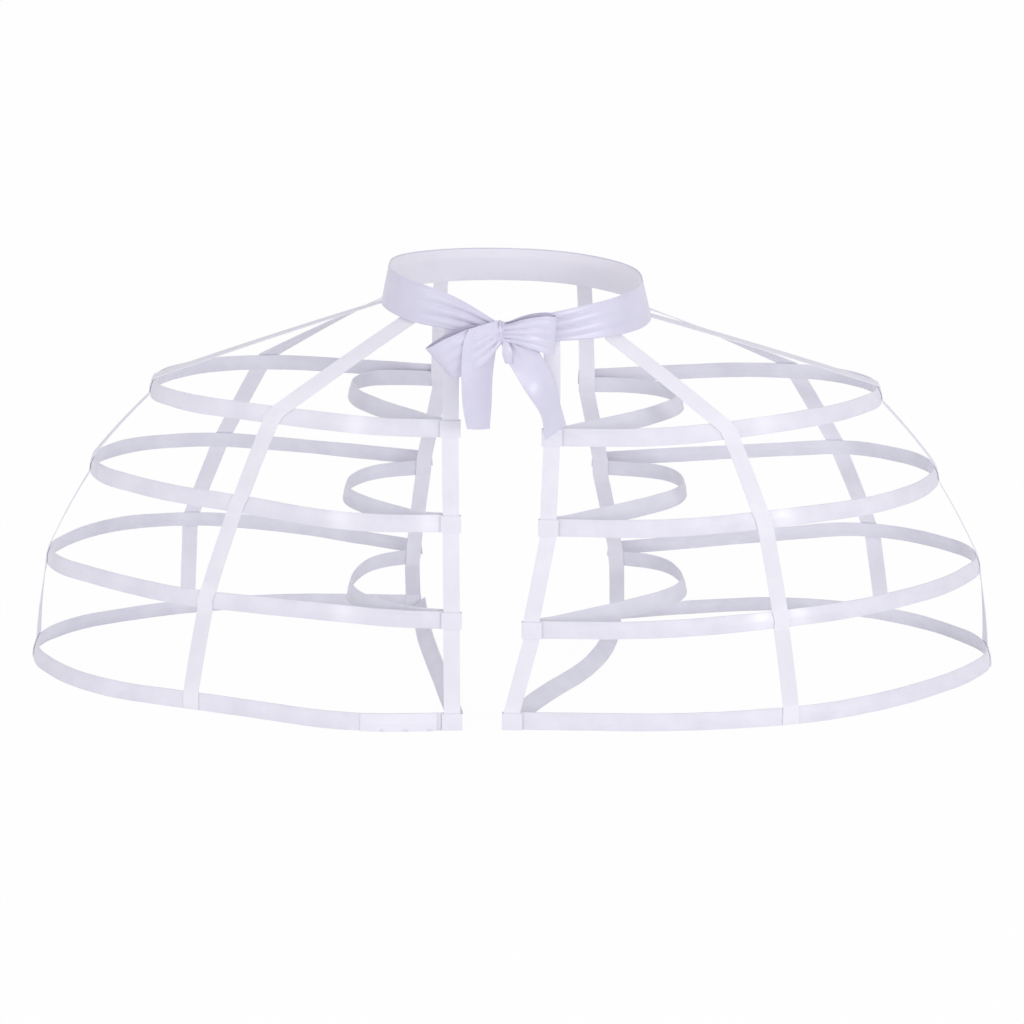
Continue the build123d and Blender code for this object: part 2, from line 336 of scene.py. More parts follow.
class Cloth:
    """Faces of one piece of cloth, gathered before its mesh is made."""

    def __init__(self):
        self.vertices = []
        self.faces = []
        self.uvs = []
        self.highlight_values = []
        self.thread_faces = []

    def tube(self, rings, us, vs, highlight_values):
        """Closed skin whose rings run out along one face and back along the other."""
        rows, columns = rings.shape[:2]
        first = len(self.vertices)
        self.vertices.extend(rings.reshape(-1, 3))
        self.highlight_values.extend(np.repeat(highlight_values, columns))
        for row in range(rows - 1):
            for column in range(columns):
                following = (column + 1) % columns
                here = first + row * columns
                there = here + columns
                self.faces.append((here + column, there + column, there + following,
                                   here + following))
                self.uvs.extend([(us[row], vs[column]), (us[row + 1], vs[column]),
                                 (us[row + 1], vs[column + 1]), (us[row], vs[column + 1])])
        for row, flip in [(0, False), (rows - 1, True)]:
            base = first + row * columns
            for column in range(columns // 2 - 1):
                corners = [base + column, base + column + 1, base + columns - 2 - column,
                           base + columns - 1 - column]
                self.faces.append(tuple(corners[::-1] if flip else corners))
                self.uvs.extend([(us[row], vs[column])] * 4)

    def thick(self, middle, depth, rub_and_highlight=0):
        """Closed sheet of cloth about a grid of middle points, rows down its length."""
        along = np.gradient(middle, axis=0)
        over = np.gradient(middle, axis=1)
        normal = np.cross(along, over)
        normal /= np.linalg.norm(normal, axis=2, keepdims=True) + never_zero
        front = middle + normal * depth / 2
        back = (middle - normal * depth / 2)[:, ::-1]
        steps = np.linalg.norm(np.diff(middle[:, middle.shape[1] // 2], axis=0), axis=1)
        us = np.concatenate([[0], np.cumsum(steps)])
        widths = np.linalg.norm(np.diff(middle[len(middle) // 2], axis=0), axis=1)
        across = np.concatenate([[0], np.cumsum(widths)])
        vs = np.concatenate([across, across[::-1], [0]])
        highlight_values = np.broadcast_to(rub_and_highlight, len(middle))
        self.tube(np.concatenate([front, back], axis=1), us, vs, highlight_values)

    def stitch(self, start, end, away, half=thread_half):
        """One stitch: a slim diamond of thread that stands a little proud of the cloth."""
        way = end - start
        beside = np.cross(way, away)
        beside = beside / np.linalg.norm(beside) * half
        middle = (start + end) / 2
        lift = away * half
        first = len(self.vertices)
        self.vertices.extend([start, middle + beside, end, middle - beside, middle + lift,
                              middle - lift])
        self.highlight_values.extend([0] * 6)
        for a, b in [(0, 1), (1, 2), (2, 3), (3, 0)]:
            self.thread_faces.append((first + a, first + b, first + 4))
            self.thread_faces.append((first + b, first + a, first + 5))

    def piece(self, name, material):
        """Blender mesh in metres, over the middle of the footprint, cloth lengths as UVs."""
        mesh = bpy.data.meshes.new(name)
        vertices = (np.array(self.vertices) - footprint_middle) / mm_per_m
        mesh.from_pydata(vertices.tolist(), [], self.faces + self.thread_faces)
        uvs = np.array(self.uvs + [(0, 0)] * (3 * len(self.thread_faces)))
        layer = mesh.uv_layers.new(name="cloth")
        layer.data.foreach_set("uv", (uvs / mm_per_m).astype(np.float32).ravel())
        rub_and_highlight = mesh.attributes.new("rub_and_highlight", "FLOAT", "POINT")
        rub_and_highlight.data.foreach_set("value", np.array(self.highlight_values, np.float32))
        mesh.materials.append(material)
        mesh.materials.append(sewing_thread)
        is_thread = [0] * len(self.faces) + [1] * len(self.thread_faces)
        mesh.polygons.foreach_set("material_index", is_thread)
        mesh.polygons.foreach_set("use_smooth", [True] * len(is_thread))
        mesh.set_sharp_from_angle(angle=math.radians(crease_angle))
        mesh.update()
        piece = bpy.data.objects.new(name, mesh)
        scene.collection.objects.link(piece)
        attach(piece, "root")
        return piece


# Turns, shift and size of the sines that make up a drift
SINES = [(1, 1, 1), (0.43, 2.1, 1), (1.9, 3.7, 0.6)]


def wander(distance, seed, wavelength=60):
    """Slow uneven drift between -1 and 1 along a length of cloth."""
    turn = 2 * math.pi * distance / wavelength
    drift = sum(size * math.sin(turns * turn + shift * seed) for turns, shift, size in SINES)
    return drift / sum(size for _, _, size in SINES)


def half_depth(share):
    """Half the casing's thickness, for a share of the way from its middle to an edge."""
    fall = math.sqrt(share ** 2 + crest_round)
    return casing_edge / 2 + (casing_crest - casing_edge) / 2 * max(0, 1 - fall)


def loose(distance, held):
    """0 on the stretches where a band is held still, up to 1 well clear of them."""
    clear = min(max(start - distance, distance - end) for start, end in held)
    return max(0, min(1, clear / casing_width))


def sleeve(cloth, line, side, lean, up, seed, wear_and_highlight, trims, held):
    """Casing pressed shut at both ends round its pocket, sewn along both edges."""
    def turned(distance):
        twist = casing_twist * wander(distance, seed + twist_seed, twist_wavelength)
        return lean + twist * loose(distance, held)

    start = trims[0]
    end = line.length - trims[1]
    count = round(line.length / ring_step)
    inner = np.linspace(start + end_taper, end - end_taper, count)
    us = np.concatenate([[start, start + end_taper / 3], inner, [end - end_taper / 3, end]])
    skin = []
    highlight_values = []
    for distance in us:
        seat = seat_on(line, distance, side, up)
        from_end = min(distance - start, end - distance, end_taper)
        shut = end_press + (1 - end_press) * from_end / end_taper
        width_share = casing_width_share + casing_width_waver * wander(distance, seed)
        half = casing_width / 2 * width_share
        ring = []
        for face, order in [(1, CASING_SHARES), (-1, CASING_SHARES[::-1])]:
            for share in order:
                slanted = distance + dip_slant * share
                dip = skin_dip * (1 + wander(slanted, seed + face, dip_wavelength))
                out = face * (half_depth(abs(share)) * shut - dip)
                ring.append(leaning(seat, turned(distance), out, share * half))
        skin.append(ring)
        highlight_values.append(max([rub_highlight * math.exp(-((distance - place) / reach) ** 2)
                             for place, reach, rub_highlight in wear_and_highlight] + [0]))
    widths = [casing_width * (share + 1) / 2 for share in CASING_SHARES]
    vs = widths + [casing_width + width for width in widths] + [2 * casing_width]
    cloth.tube(np.array(skin)[:, ::side], us, vs, highlight_values)
    pocket = []
    pocket_us = np.linspace(pocket_end, line.length - pocket_end, count)
    for distance in pocket_us:
        seat = seat_on(line, distance, side, up)
        pocket.append([leaning(seat, lean, face * pocket_depth / 2, share * pocket_width / 2)
                       for face, share in POCKET_RING])
    pocket_vs = vs[:len(POCKET_RING) + 1]
    cloth.tube(np.array(pocket)[:, ::-side], pocket_us, pocket_vs, np.zeros(count))
    for face in (1, -1):
        for edge in (1, -1):
            for distance in np.arange(start + thread_pitch, end - 2 * thread_pitch, thread_pitch):
                ends = []
                for d in (distance, distance + thread_length):
                    seat = seat_on(line, d, side, up)
                    out = face * (half_depth(seam_share) + thread_stand)
                    ends.append(leaning(seat, turned(d), out,
                                        edge * seam_share * casing_width / 2))
                away = leaning(seat, lean, face, 0) - leaning(seat, lean, 0, 0)
                cloth.stitch(ends[0], ends[1], away / np.linalg.norm(away))


def cloth_finish(name, pale, deep, shine, weave, bump, sheen, gleam):
    """Woven cloth: colour that drifts along its length, a weave bump, and rubbed places that are
    glossier and carry a painted highlight.
    """
    material = bpy.data.materials.new(name)
    material.use_nodes = True
    nodes = material.node_tree.nodes
    links = material.node_tree.links
    shader = nodes["Principled BSDF"]
    shader.inputs["Sheen Weight"].default_value = sheen
    shader.inputs["Sheen Roughness"].default_value = 0.45
    shader.inputs["Specular IOR Level"].default_value = gleam
    cloth_map = nodes.new("ShaderNodeUVMap")
    cloth_map.uv_map = "cloth"
    drift = nodes.new("ShaderNodeTexNoise")
    drift.inputs["Scale"].default_value = 34
    drift.inputs["Detail"].default_value = 3
    links.new(cloth_map.outputs["UV"], drift.inputs["Vector"])
    tint = nodes.new("ShaderNodeMix")
    tint.data_type = "RGBA"
    tint.inputs["A"].default_value = (*deep, 1)
    tint.inputs["B"].default_value = (*pale, 1)
    links.new(drift.outputs["Fac"], tint.inputs["Factor"])
    # Painted highlight: at the rubbed places the base colour is lightened toward pale lavender to
    # paint in their shine; the lower roughness there is their real gloss.
    wear_and_highlight = nodes.new("ShaderNodeAttribute")
    wear_and_highlight.attribute_name = "rub_and_highlight"
    highlight_share = nodes.new("ShaderNodeMath")
    highlight_share.operation = "MULTIPLY"
    highlight_share.inputs[1].default_value = 0.6
    links.new(wear_and_highlight.outputs["Fac"], highlight_share.inputs[0])
    lighter = nodes.new("ShaderNodeMix")
    lighter.data_type = "RGBA"
    lighter.inputs["B"].default_value = (0.9, 0.89, 0.96, 1)
    links.new(highlight_share.outputs[0], lighter.inputs["Factor"])
    links.new(tint.outputs["Result"], lighter.inputs["A"])
    links.new(lighter.outputs["Result"], shader.inputs["Base Color"])
    gloss = nodes.new("ShaderNodeMapRange")
    gloss.inputs["To Min"].default_value = shine
    gloss.inputs["To Max"].default_value = shine - rubbed_gloss
    links.new(wear_and_highlight.outputs["Fac"], gloss.inputs["Value"])
    links.new(gloss.outputs["Result"], shader.inputs["Roughness"])
    stretch = nodes.new("ShaderNodeMapping")
    stretch.inputs["Scale"].default_value = (mm_per_m / weave[0], mm_per_m / weave[1], 1)
    links.new(cloth_map.outputs["UV"], stretch.inputs["Vector"])
    yarns = nodes.new("ShaderNodeTexNoise")
    yarns.inputs["Scale"].default_value = 1
    yarns.inputs["Detail"].default_value = 2
    links.new(stretch.outputs["Vector"], yarns.inputs["Vector"])
    relief = nodes.new("ShaderNodeBump")
    relief.inputs["Strength"].default_value = bump
    relief.inputs["Distance"].default_value = 0.0003
    links.new(yarns.outputs["Fac"], relief.inputs["Height"])
    links.new(relief.outputs["Normal"], shader.inputs["Normal"])
    return material


sewing_thread = bpy.data.materials.new("sewing_thread")
sewing_thread.use_nodes = True
nodes = sewing_thread.node_tree.nodes
links = sewing_thread.node_tree.links
shader = nodes["Principled BSDF"]
shader.inputs["Roughness"].default_value = 0.6
thread_place = nodes.new("ShaderNodeTexCoord")
thread_noise = nodes.new("ShaderNodeTexNoise")
thread_noise.inputs["Scale"].default_value = 400
thread_tint = nodes.new("ShaderNodeMix")
thread_tint.data_type = "RGBA"
thread_tint.inputs["A"].default_value = (0.74, 0.73, 0.8, 1)
thread_tint.inputs["B"].default_value = (0.86, 0.85, 0.9, 1)
links.new(thread_place.outputs["Object"], thread_noise.inputs["Vector"])
links.new(thread_noise.outputs["Fac"], thread_tint.inputs["Factor"])
links.new(thread_tint.outputs["Result"], shader.inputs["Base Color"])
casing_twill = cloth_finish("casing_twill", (0.84, 0.83, 0.905), (0.66, 0.65, 0.725),
                            shine=0.48, weave=(0.9, 1.6), bump=0.2, sheen=0.1, gleam=0.42)

hoop_lines = {}
wrap_start = 0.5
wrap_length = 19
wrap_rows = 6
wrap_columns = 7
wrap_depth = 0.6
wrap_stand = 2.95
wrap_round = 0.4
wrap_return = 0.5
wrap_width_share = 0.93
# The folded-back front ends are made glossier and painted lighter as a highlight
wrap_rub_highlight = 0.35
hem_join = (24, 98)
join_rows = 16
join_columns = 9
join_depth = 0.8
join_stand = 2.3
# The hem join strip is made glossier and painted lighter
join_lightening = 0.6
bar_tacks = (31, 54, 77)
tack_half = 0.8
tack_spread = 1.7
tack_sink = 0.4

for side_name, side in SIDES.items():
    heights = HOOP_HEIGHTS[side_name] + [hem_height()]
    for level, outline in enumerate(HOOPS[side_name]):
        number = level + 1
        line = Line([(side * x, y, heights[level]) for x, y in outline])
        hoop_lines[side_name, level] = line
        # Rubbed places, tape crossings and each hoop's tip are made glossier and painted lighter
        # as a highlight
        wear_and_highlight = [(crossing_length(line, side, outward, False), rub_highlight_reach, 1)
                for outward in RUB_HIGHLIGHT_PLACES[side_name][level]]
        wear_and_highlight += [(crossing_length(line, side, row[level], tape == "back_side"),
                  crossing_reach, crossing_rub_highlight)
                 for tape, row in TAPE_CROSSINGS[side_name].items()]
        wear_and_highlight.append((tip_length(line, side), crossing_reach, crossing_rub_highlight))
        joined = side_name == "left" and number == len(HOOPS[side_name])
        front_hold = hem_join[1] if joined else wrap_length
        held = [(0, front_hold), (line.length - rear_hold, line.length)]
        held += [(place - reach, place + reach) for place, reach, rub_highlight in wear_and_highlight
                 if rub_highlight == crossing_rub_highlight]
        cloth = Cloth()
        sleeve(cloth, line, side, casing_lean, UP, number + side_seed * side, wear_and_highlight,
               (0, rear_trim), held)
        places = [(-wrap_return, -1), (-wrap_return, wrap_stand)]
        places += [(d, wrap_stand) for d in np.linspace(wrap_start, wrap_length, wrap_rows)]
        rows = []
        for distance, out in places:
            seat = seat_on(line, max(0, distance), side)
            beyond = line.along(0) * min(0, distance)
            rows.append([leaning(seat, casing_lean, out - wrap_round * abs(rise),
                                 rise * casing_width / 2 * wrap_width_share) + beyond
                         for rise in np.linspace(-1, 1, wrap_columns)])
        cloth.thick(np.array(rows), wrap_depth, wrap_rub_highlight)
        if joined:
            rows = []
            for distance in np.linspace(*hem_join, join_rows):
                seat = seat_on(line, distance, side)
                rows.append([leaning(seat, casing_lean, join_stand - abs(rise),
                                     rise * casing_width / 2)
                             for rise in np.linspace(-1, 1, join_columns)])
            cloth.thick(np.array(rows), join_depth, join_lightening)
            for place in bar_tacks:
                for beside in (-tack_spread, 0, tack_spread):
                    seat = seat_on(line, place + beside, side)
                    low = leaning(seat, casing_lean, join_stand - tack_sink, -casing_width / 2)
                    high = leaning(seat, casing_lean, join_stand, -casing_width / 3)
                    cloth.stitch(low, high, seat[1], tack_half)
        name = f"{side_name}_hoop_casing_{number}"
        piece = cloth.piece(name + "_cloth", casing_twill)
        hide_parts(name)


# Hip casings: narrower loops of the same folded strip inside each hoop, which hold the
# cage off the hip. The lowest lies at a slant between the front and rear of the hem.
front_run = 20
hip_drop = 3
hip_fall = 0.04
fit_gap = 0.3
hem_band_lean = 48
hem_band_height = 9
hip_hold = 30
hip_seed = 1.7
# Corners of the upper bands between their ends, outward and front to back
HIPS = {
    "left": [
        [(125, -28), (158, 20), (164, 64), (146, 94), (104, 96)],
        [(92, -84), (140, -42), (166, -8), (168, 38), (143, 78)],
        [(94, -88), (145, -55), (165, -18), (163, 26), (146, 78)],
    ],
    "right": [
        [(130, -28), (162, 10), (172, 40), (155, 79), (118, 95)],
        [(128, -38), (168, -2), (177, 40), (160, 80), (122, 93)],
        [(85, -70), (145, -28), (172, 0), (177, 36), (160, 92)],
    ],
}
# The lowest bands: front end, corners between, rear end. Each end has its distance from that
# end of the hem hoop and its stand-off inside the hoop.
HEM_BANDS = {
    "left": ((5, 2.3), [(64, -88), (80, 0), (92, 70)], (5, 3.9)),
    "right": ((9, 3.4), [(30, -88), (78, -20), (102, 50)], (8, 5.4)),
}
hip_lines = {}
hip_up = np.array([0, hip_fall, 1])
hip_up = hip_up / np.linalg.norm(hip_up)
for side_name, side in SIDES.items():
    heights = HOOP_HEIGHTS[side_name]
    inset = (casing_crest + fit_gap) / math.cos(math.radians(casing_lean))
    for level in range(len(HOOPS[side_name])):
        number = level + 1
        hoop = hoop_lines[side_name, level]
        if level < len(heights):
            stops = [(0, inset), (front_run, inset), (hoop.length, inset)]
            lean, up, trims = casing_lean, hip_up, (rear_trim, rear_trim)
        else:
            front, between, rear = HEM_BANDS[side_name]
            stops = [front, (hoop.length - rear[0], rear[1])]
            lean, up, trims = hem_band_lean, UP, (0, 0)
        ends = []
        for distance, stand_off in stops:
            point, outward, _ = seat_on(hoop, distance, side)
            inner = point - outward * stand_off
            ends.append((side * inner[0], inner[1]))
        if level < len(heights):
            outline = ends[:2] + HIPS[side_name][level] + ends[2:]
            height, fall = heights[level] - hip_drop, hip_fall
        else:
            outline = ends[:1] + between + ends[1:]
            height, fall = hem_band_height, 0
        line = Line([(side * x, y, height - fall * y) for x, y in outline])
        hip_lines[side_name, level] = line
        cloth = Cloth()
        sleeve(cloth, line, side, lean, up, number * hip_seed + side, [], trims,
               [(0, hip_hold), (line.length - hip_hold, line.length)])
        name = f"{side_name}_hip_casing_{number}"
        piece = cloth.piece(name + "_cloth", casing_twill)
        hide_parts(name)


# Tapes: five woven cotton tapes a side, caught inside the sash at the top and stitched
# across each casing they pass. The rear ones run inside the hip bands.
sash_width = 38
sash_depth = 1
sash_lean_middle = 13
sash_lean_swing = 5
sash_tuck = 24
sash_drop = 1.2
sash_gap = 1.6
tape_width = 16
tape_depth = 0.8
tape_clear = 0.9
tape_foot_gap = 0.6
front_tape_inset = 9
rear_tape_inset = 11
tape_step = 9
tape_bend = 1.6
tape_slack = 1.1
tape_curl = 0.35
tape_settle = 2.5
tape_rub_highlight = 0.35
free_run = 2 * casing_width
slant_limit = 1.15
tack_rise = 6.6
tack_stand = 0.1
TACK_STARTS = (-0.75, -0.45, -0.15, 0.15, 0.45)
tack_span = 0.23
tape_columns = 7
TAPE_ACROSS = np.linspace(-1, 1, tape_columns)
TAPES = ["front", "front_side", "side", "back_side", "rear"]
# The sash's middle line: its two ends from the knot, then its corners from the left of the
# knot round the back to the right
knot = np.array([-12.0, -110.0, 389.0])
WAIST_ENDS = [(-3, 4, 0), (3, 4, -1)]
WAIST = [(-54, -98, 405), (-98, -78, 411), (-122, -38, 413), (-122, 53, 404),
         (-48, 115, 396), (56, 115, 393), (130, 53, 392), (130, -38, 395), (98, -80, 395),
         (48, -98, 392)]
# Place front to back at which each tape hangs from the waist line, on its own side
SASH_PLACES = {
    "left": {"front": -96, "front_side": -73, "side": -2, "back_side": 28, "rear": 95},
    "right": {"front": -99, "front_side": -77, "side": 4, "back_side": 36, "rear": 99},
}
waist = Line([knot + np.array(WAIST_ENDS[0]), *WAIST, knot + np.array(WAIST_ENDS[1])])
tape_weave = cloth_finish("tape_weave", (0.85, 0.84, 0.905), (0.75, 0.74, 0.805),
                          shine=0.66, weave=(0.8, 5), bump=0.08, sheen=0.1, gleam=0.25)


def sash_lean(distance):
    """The sash leans in at the top, more at the back than in front."""
    return sash_lean_middle - sash_lean_swing * math.cos(2 * math.pi * distance / waist.length)


def waist_length(side, place):
    """Length along the waist line to a place front to back on one side of it."""
    def reached(reach):
        return waist.at(reach if side < 0 else waist.length - reach)[1] > place

    reach = where(0, waist.length / 2, reached)
    return reach if side < 0 else waist.length - reach


def tape_crossings(side_name, tape):
    """Each band that a tape meets, from the sash down, and where on it they meet."""
    side = SIDES[side_name]
    distance = waist_length(side, SASH_PLACES[side_name][tape])
    crossings = [(waist, distance, -1, UP, sash_lean(distance))]
    for level in range(len(HOOPS[side_name])):
        hoop = hoop_lines[side_name, level]
        band = hip_lines[side_name, level]
        if tape == "front":
            crossings.append((hoop, front_tape_inset, side, UP, casing_lean))
        elif tape == "rear" and level == len(HOOPS[side_name]) - 1:
            crossings.append((hoop, hoop.length - rear_tape_inset, side, UP, casing_lean))
        elif tape == "rear":
            crossings.append((band, band.length - rear_tape_inset, side, hip_up, casing_lean))
        elif tape == "side":
            crossings.append((hoop, tip_length(hoop, side), side, UP, casing_lean))
        else:
            outward = TAPE_CROSSINGS[side_name][tape][level]
            distance = crossing_length(hoop, side, outward, tape == "back_side")
            crossings.append((hoop, distance, side, UP, casing_lean))
    return crossings


def slant(crossing, before, after):
    """Sideways travel of a tape at a crossing for each step down, from two points."""
    line, distance, side, up, _ = crossing
    across = np.cross(up, seat_on(line, distance, side, up)[1])
    way = after - before
    sideways = way @ across
    down = math.sqrt(max(1, way @ way - sideways ** 2))
    return max(-slant_limit, min(slant_limit, sideways / down))


def tape_point(crossing, out, rise, travel, v, shift=0):
    """Point of a tape that lies against a band, v from -1 to 1 across its width."""
    line, distance, side, up, lean = crossing
    sideways = shift + v * tape_width / 2 * math.hypot(1, travel)
    seat = seat_on(line, distance + side * sideways, side, up)
    return leaning(seat, lean, out, rise)


def eased(start, end, share, free):
    """Row between two rows; a free stretch hangs flat across and bellies out a little."""
    row = start + (end - start) * share
    if not free:
        return row
    chord = row[-1] - row[0]
    bell = math.sin(math.pi * share)
    settle = min(1, tape_settle * bell)
    row = row * (1 - settle) + (row.mean(axis=0) + np.outer(TAPE_ACROSS, chord) / 2) * settle
    away = np.cross(end.mean(axis=0) - start.mean(axis=0), chord)
    away = away / np.linalg.norm(away)
    return row + np.outer(bell * (tape_slack + tape_curl * (1 - TAPE_ACROSS ** 2)), away)


for side_name, side in SIDES.items():
    for tape in TAPES:
        face = -1 if tape == "rear" else 1
        straight = tape in ("front", "rear")
        crossings = tape_crossings(side_name, tape)
        middles = [line.at(distance) for line, distance, *_ in crossings]
        edge_out = face * (casing_edge / 2 + fit_gap + tape_depth / 2)
        crest_out = face * (casing_crest / 2 + fit_gap + tape_depth / 2)
        edge_rise = casing_width / 2 + tape_clear
        inside = -(sash_depth / 2 + sash_gap + tape_depth / 2)
        leaving = 0 if straight else slant(crossings[0], middles[0], middles[1])
        stations = [(crossings[0], inside, sash_tuck - sash_width / 2, 0, 0),
                    (crossings[0], inside, -sash_width / 2 - sash_drop, leaving, 0)]
        tacks = []
        for level in range(1, len(crossings)):
            crossing = crossings[level]
            hem = level == len(crossings) - 1
            coming = 0 if straight else slant(crossing, middles[level - 1], middles[level])
            going = coming
            if not (hem or straight):
                going = slant(crossing, middles[level], middles[level + 1])
            mean = (coming + going) / 2
            foot = tape_foot_gap - casing_width / 2 if hem else -edge_rise
            stations += [(crossing, edge_out, edge_rise, coming, -coming * edge_rise),
                         (crossing, crest_out, 0, mean, 0),
                         (crossing, edge_out, foot, going, -going * foot)]
            proud = face * (tape_depth / 2 + tack_stand)
            tack_out = crest_out + (edge_out - crest_out) * tack_rise / edge_rise + proud
            tacks += [(crossing, tack_out, rise, travel, -travel * rise)
                      for rise, travel in [(tack_rise, coming), (-tack_rise, going)]]
        station_rows = [np.array([tape_point(crossing, out, rise, travel, v, shift)
                                  for v in TAPE_ACROSS])
                        for crossing, out, rise, travel, shift in stations]
        runs = [np.linalg.norm(b.mean(axis=0) - a.mean(axis=0))
                for a, b in zip(station_rows, station_rows[1:])]
        free = [run > free_run for run in runs]
        rows = [station_rows[0]]
        highlight_values = [0]
        for index in range(1, len(station_rows)):
            start, end = station_rows[index - 1], station_rows[index]
            run = runs[index - 1]
            if free[index - 1]:
                shares = np.linspace(tape_bend / run, 1 - tape_bend / run,
                                     max(3, round(run / tape_step)))[1:-1]
                rows += [eased(start, end, share, True) for share in shares]
                highlight_values += [0] * len(shares)
            if index < len(station_rows) - 1:
                onward = runs[index]
                come = eased(start, end, 1 - tape_bend / run, free[index - 1])
                go = eased(end, station_rows[index + 1], tape_bend / onward, free[index])
                # Bends over the casings are made glossier and painted lighter as a highlight
                bend = [come, (come + 2 * end + go) / 4, go]
                rows += bend
                highlight_values += [tape_rub_highlight] * len(bend)
        rows.append(station_rows[-1])
        highlight_values.append(tape_rub_highlight)
        cloth = Cloth()
        cloth.thick(np.array(rows), tape_depth, highlight_values)
        for crossing, out, rise, travel, shift in tacks:
            for v in TACK_STARTS:
                begin = tape_point(crossing, out, rise, travel, v, shift)
                finish = tape_point(crossing, out, rise, travel, v + tack_span, shift)
                away = seat_on(crossing[0], crossing[1], crossing[2], crossing[3])[1] * face
                cloth.stitch(begin, finish, away)
        name = f"{side_name}_{tape}_tape"
        piece = cloth.piece(name + "_cloth", tape_weave)
        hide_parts(name)


# Sash lining: a matt ribbon sewn inside the sash along its top edge. It covers the ends of
# the tapes, which are caught between the two, and stops short of the bow.
gather_width = 18
gather_power = 1.5
left_gather_reach = 85
right_gather_reach = 150
hem_stand = 0.55
hem_place = 0.94
hem_spread = 0.045
seam_gap = 0.05
lining_depth = 0.5
lining_stop = 40
lining_rows = 150
lining_columns = 17
lining_width = 37
lining_foot = -0.97
closing_start = 0.5
closing_power = 0.8
lining_cotton = cloth_finish("lining_cotton", (0.87, 0.85, 0.91), (0.81, 0.79, 0.86),
                             shine=0.55, weave=(0.5, 0.5), bump=0.12, sheen=0.2, gleam=0.3)
LINING_ACROSS = np.linspace(lining_foot, 1, lining_columns)
lining_out = sash_depth / 2 + sash_gap + tape_depth + lining_depth


def gathered(distance):
    """How far the sash is drawn together toward the knot, from 0 to 1."""
    from_knot = min(distance / left_gather_reach,
                    (waist.length - distance) / right_gather_reach)
    return max(0, 1 - from_knot)


def sash_half(distance):
    """Half the sash's width, which shrinks fast close to the knot."""
    drawn_in = (sash_width - gather_width) * gathered(distance) ** gather_power
    return (sash_width - drawn_in) / 2


def hemmed(v):
    """Extra stand-off of the narrow rolled hem along either edge."""
    return hem_stand * math.exp(-((abs(v) - hem_place) / hem_spread) ** 2)


rows = []
for distance in np.linspace(lining_stop, waist.length - lining_stop, lining_rows):
    seat = seat_on(waist, distance, -1)
    half = sash_half(distance) * lining_width / sash_width
    row = []
    for v in LINING_ACROSS:
        closing = max(0, (v - closing_start) / (1 - closing_start)) ** closing_power
        seam_out = hemmed(v) - (sash_depth + lining_depth) / 2 - seam_gap
        out = -lining_out + (lining_out + seam_out) * closing
        row.append(leaning(seat, sash_lean(distance), out, v * half))
    rows.append(row)
lining = Cloth()
lining.thick(np.array(rows), lining_depth)
piece = lining.piece("sash_lining", lining_cotton)


# Waist sash: one satin ribbon, narrow-hemmed on both edges, that goes round the waist and
# is tied in front in a bow. It gathers toward the knot and ends in two cut tails.
sash_rows = 190
sash_columns = 37
crease_power = 0.8
waist_folds = 3
pleat_depth = 3.4
pleat_power = 0.7
pleat_start = 0.7
pleat_drift = 45
sash_ripple = 0.4
ripple_wavelength = 110
ripple_slant = 14
ripple_seed = 2.3
sash_satin = cloth_finish("sash_satin", (0.73, 0.71, 0.845), (0.6, 0.58, 0.715),
                          shine=0.35, weave=(3.5, 0.6), bump=0.06, sheen=0.1, gleam=0.8)
even = np.linspace(-1, 1, sash_columns)
ACROSS = (even + np.sin(even * math.pi / 2)) / 2


def gathers(v, folds, phase):
    """Rounded ridges across the ribbon with sharp creases between them, from 0 to 1."""
    return abs(math.sin(math.pi / 2 * folds * v + phase)) ** crease_power


sash = Cloth()
rows = []
for distance in np.linspace(0, waist.length, sash_rows):
    seat = seat_on(waist, distance, -1)
    gather = gathered(distance)
    half = sash_half(distance)
    row = []
    for v in ACROSS:
        ridge = gathers(v, waist_folds, pleat_start + distance / pleat_drift)
        fold = pleat_depth * gather ** pleat_power * ridge * (1 - v ** 4)
        swell = 1 + wander(distance + ripple_slant * v, ripple_seed, ripple_wavelength)
        ripple = sash_ripple * swell * (1 - v * v)
        row.append(leaning(seat, sash_lean(distance), fold + ripple + hemmed(v), v * half))
    rows.append(row)
sash.thick(np.array(rows), sash_depth)

# The two bow loops: the same ribbon doubled, full where it opens and pleated at the knot.
# Each has its slope below level, its arch, its skew, its path from above and its widths.
LOOPS = {
    "left": (28, 1, 0.07,
             [(0, -1.5), (24, -3.5), (58, -3.5), (66, 2), (58, 7.8), (27, 10.4), (0, 3.6)],
             [(0, 8), (22, 18), (46, 20), (72, 18.5)]),
    "right": (3, 4, 0,
              [(0, -1.5), (20, -3.5), (48, -3.5), (54.5, 2), (48, 7.8), (23, 10.4), (0, 3.6)],
              [(0, 7), (12, 9.5), (29, 14.5), (44, 18.5), (62, 18.5)]),
}
FRONT = np.array([0.0, -1.0, 0.0])
bow_depth = 0.8
bow_arc_steps = 8
loop_rows = 72
loop_folds = 4
loop_fold = 3.4
fold_start = 0.5
fold_fade = 2
fold_onset = 7
loop_puff = 1.8
loop_dent = 1.1
dent_turn = 7
dent_slant = 2.5
back_share = 0.3
